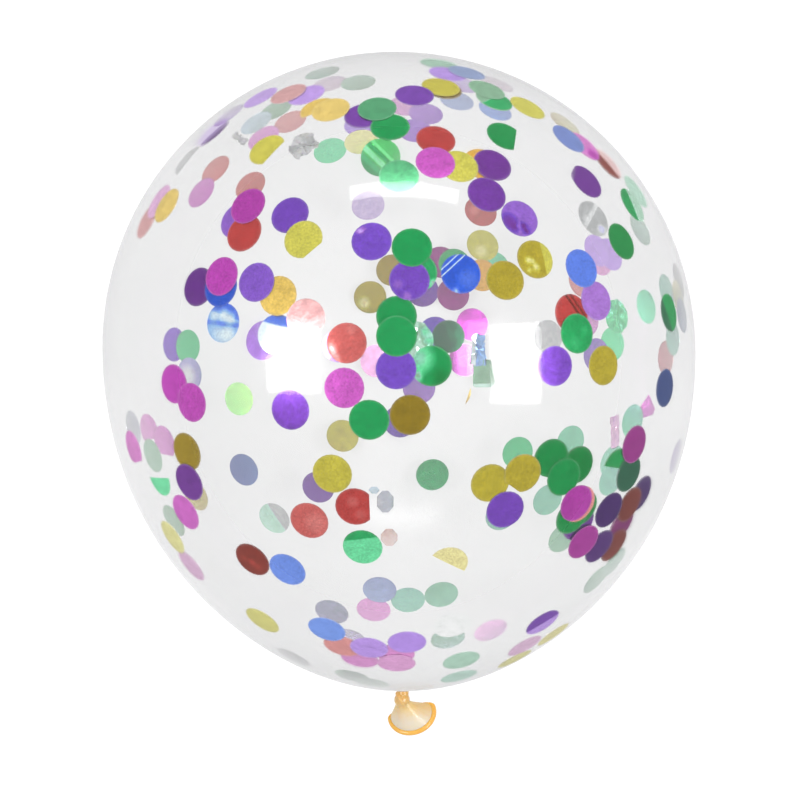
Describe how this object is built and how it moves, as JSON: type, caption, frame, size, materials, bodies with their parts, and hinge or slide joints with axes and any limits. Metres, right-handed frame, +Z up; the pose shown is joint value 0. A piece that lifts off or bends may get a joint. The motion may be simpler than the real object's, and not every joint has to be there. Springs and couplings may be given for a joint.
{
  "type": "clear confetti balloon",
  "caption": "Round clear latex balloon, tied off at a knot with a short trumpet tail and rolled lip, with loose coloured foil discs sealed inside, lying on its side.",
  "frame": {"origin": "Middle of the small flat spot that the lying balloon rests on, straight below its widest ring.", "axes": "+Y along the long axis towards the crown, so the knot and tail are at -Y; +Z up from the floor, towards the side that the picture shows; +X to the right of that side."},
  "size_m": [0.3, 0.3473, 0.297],
  "materials": {
    "clear_latex": "gloss",
    "purple_foil": "gloss",
    "green_foil": "gloss",
    "magenta_foil": "gloss",
    "red_foil": "gloss",
    "gold_foil": "gloss",
    "blue_foil": "gloss",
    "silver_foil": "gloss"
  },
  "bodies": {
    "root": {"balloon": "clear_latex"}
  },
  "joints": []
}
